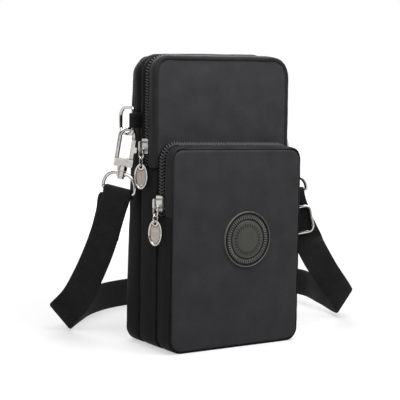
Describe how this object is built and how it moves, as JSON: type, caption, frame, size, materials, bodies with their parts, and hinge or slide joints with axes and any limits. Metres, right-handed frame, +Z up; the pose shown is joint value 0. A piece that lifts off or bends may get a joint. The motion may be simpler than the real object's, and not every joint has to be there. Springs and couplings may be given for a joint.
{
  "type": "phone pouch",
  "caption": "Upright fabric phone pouch with stacked zipped compartments, a front pocket with a round badge, side rings and a webbing strap on swivel snap hooks.",
  "frame": {"origin": "under the middle of the pouch, on the surface it stands on", "axes": "+Z up, -Y out of the front pocket with the badge, +X to the pouch's right seen from the front"},
  "size_m": [0.2458, 0.19, 0.2007],
  "materials": {
    "panel_fabric": "matte charcoal coated nylon",
    "gusset_fabric": "matte black coated nylon",
    "webbing": "black woven webbing",
    "zip_coil": "black nylon coil on woven tape",
    "nickel": "polished nickel plate",
    "tag_metal": "satin pale metal",
    "badge_rubber": "matte moulded rubber"
  },
  "bodies": {
    "pouch": {"pocket_front_panel": "panel_fabric", "pocket_gusset": "gusset_fabric", "pocket_zip_fixed_half": "zip_coil", "pocket_zip_mouth_legs": "zip_coil", "main_front_panel": "panel_fabric", "middle_gusset": "gusset_fabric", "middle_zip_fixed_half": "zip_coil", "middle_zip_mouth_legs": "zip_coil", "rear_gusset": "gusset_fabric", "rear_zip_fixed_half": "zip_coil", "rear_zip_mouth_legs": "zip_coil", "back_panel": "panel_fabric", "divider_panel": "panel_fabric", "badge": "badge_rubber", "left_ring_tab": "webbing", "right_ring_tab": "webbing", "strap_left_run": "webbing", "strap_right_run": "webbing", "strap_floor_band": "webbing"},
    "pocket_mouth": {"pocket_mouth_flap": "panel_fabric", "pocket_zip_mouth_half": "zip_coil"},
    "middle_mouth": {"middle_mouth_flap": "panel_fabric", "middle_zip_mouth_half": "zip_coil"},
    "rear_mouth": {"rear_mouth_flap": "panel_fabric", "rear_zip_mouth_half": "zip_coil"},
    "pocket_slider": {"pocket_slider": "nickel"},
    "pocket_pull_link": {"pocket_pull_link": "nickel"},
    "pocket_pull_tag": {"pocket_pull_jump_ring": "nickel", "pocket_pull_tag": "tag_metal"},
    "middle_slider": {"middle_slider": "nickel"},
    "middle_pull_link": {"middle_pull_link": "nickel"},
    "middle_pull_tag": {"middle_pull_chain_link": "nickel", "middle_pull_tag": "tag_metal"},
    "rear_slider": {"rear_slider": "nickel"},
    "rear_pull_link": {"rear_pull_link": "nickel"},
    "rear_pull_tag": {"rear_pull_jump_ring": "nickel", "rear_pull_tag": "tag_metal"},
    "left_hanger": {"left_strap_ring": "nickel", "left_swivel_loop": "nickel", "strap_left_end": "webbing"},
    "left_hook": {"left_hook_body": "nickel", "left_gate_pin": "nickel"},
    "left_gate": {"left_hook_gate": "nickel"},
    "right_hanger": {"right_strap_ring": "nickel", "right_swivel_loop": "nickel", "strap_right_end": "webbing", "strap_right_return": "webbing"},
    "right_hook": {"right_hook_body": "nickel", "right_gate_pin": "nickel"},
    "right_gate": {"right_hook_gate": "nickel"},
    "adjuster": {"strap_adjuster": "nickel"}
  },
  "joints": [
    {"name": "pocket_mouth_fold", "type": "hinge", "parent": "pouch", "child": "pocket_mouth", "pos_m": [0, -0.031, 0.12415], "axis": [1, 0, 0], "range_deg": [0, 60]},
    {"name": "middle_mouth_fold", "type": "hinge", "parent": "pouch", "child": "middle_mouth", "pos_m": [0, -0.013, 0.17615], "axis": [1, 0, 0], "range_deg": [0, 60]},
    {"name": "rear_mouth_fold", "type": "hinge", "parent": "pouch", "child": "rear_mouth", "pos_m": [0, 0.031, 0.18115], "axis": [-1, 0, 0], "range_deg": [0, 60]},
    {"name": "pocket_zip_slide", "type": "slide", "parent": "pouch", "child": "pocket_slider", "axis": [0, 0, 1], "range_m": [0, 0.018]},
    {"name": "pocket_link_swing", "type": "hinge", "parent": "pocket_slider", "child": "pocket_pull_link", "pos_m": [-0.05705, -0.0173, 0.0977], "axis": [0, 1, 0], "range_deg": [0, 100]},
    {"name": "pocket_tag_swing", "type": "hinge", "parent": "pocket_pull_link", "child": "pocket_pull_tag", "pos_m": [-0.05705, -0.0173, 0.0907], "axis": [0, 1, 0], "range_deg": [0, 50]},
    {"name": "middle_zip_slide", "type": "slide", "parent": "pouch", "child": "middle_slider", "axis": [0, 0, 1], "range_m": [0, 0.033]},
    {"name": "middle_link_swing", "type": "hinge", "parent": "middle_slider", "child": "middle_pull_link", "pos_m": [-0.05705, 0.002, 0.1347], "axis": [0, 1, 0], "range_deg": [0, 100]},
    {"name": "middle_tag_swing", "type": "hinge", "parent": "middle_pull_link", "child": "middle_pull_tag", "pos_m": [-0.05705, 0.002, 0.1277], "axis": [0, 1, 0], "range_deg": [0, 50]},
    {"name": "rear_zip_slide", "type": "slide", "parent": "pouch", "child": "rear_slider", "axis": [0, 0, 1], "range_m": [0, 0.007]},
    {"name": "rear_link_swing", "type": "hinge", "parent": "rear_slider", "child": "rear_pull_link", "pos_m": [0.05705, 0.02, 0.1657], "axis": [0, -1, 0], "range_deg": [0, 100]},
    {"name": "rear_tag_swing", "type": "hinge", "parent": "rear_pull_link", "child": "rear_pull_tag", "pos_m": [0.05705, 0.02, 0.1587], "axis": [0, -1, 0], "range_deg": [0, 50]},
    {"name": "left_ring_swing", "type": "hinge", "parent": "pouch", "child": "left_hanger", "pos_m": [-0.0593, 0.01, 0.153], "axis": [0, 0, 1], "range_deg": [-8, 20], "deforming": ["strap_left_run"]},
    {"name": "left_hook_swivel", "type": "hinge", "parent": "left_hanger", "child": "left_hook", "pos_m": [-0.06026, 0.01542, 0.144], "axis": [0.0868, -0.1504, 0.9848], "range_deg": [-8, 45]},
    {"name": "left_gate_hinge", "type": "hinge", "parent": "left_hook", "child": "left_gate", "pos_m": [-0.05755, 0.0163, 0.12481], "axis": [-0.4205, -0.9017, -0.1006], "range_deg": [0, 22], "stiffness_Nm_per_rad": 0.01, "springref_deg": -28.65},
    {"name": "right_ring_swing", "type": "hinge", "parent": "pouch", "child": "right_hanger", "pos_m": [0.0605, 0.0095, 0.149], "axis": [0, 0, 1], "range_deg": [-20, 20], "deforming": ["strap_right_run"]},
    {"name": "right_hook_swivel", "type": "hinge", "parent": "right_hanger", "child": "right_hook", "pos_m": [0.06581, 0.01092, 0.14], "axis": [-0.1616, 0.1308, 0.9781], "range_deg": [-45, 10]},
    {"name": "right_gate_hinge", "type": "hinge", "parent": "right_hook", "child": "right_gate", "pos_m": [0.0658, 0.01203, 0.12063], "axis": [0.7542, 0.6556, 0.0369], "range_deg": [0, 22], "stiffness_Nm_per_rad": 0.01, "springref_deg": -28.65},
    {"name": "adjuster_slide", "type": "slide", "parent": "right_hanger", "child": "adjuster", "axis": [0.1616, -0.1308, -0.9781], "range_m": [-0.002, 0.006], "deforming": ["strap_right_return"]}
  ]
}
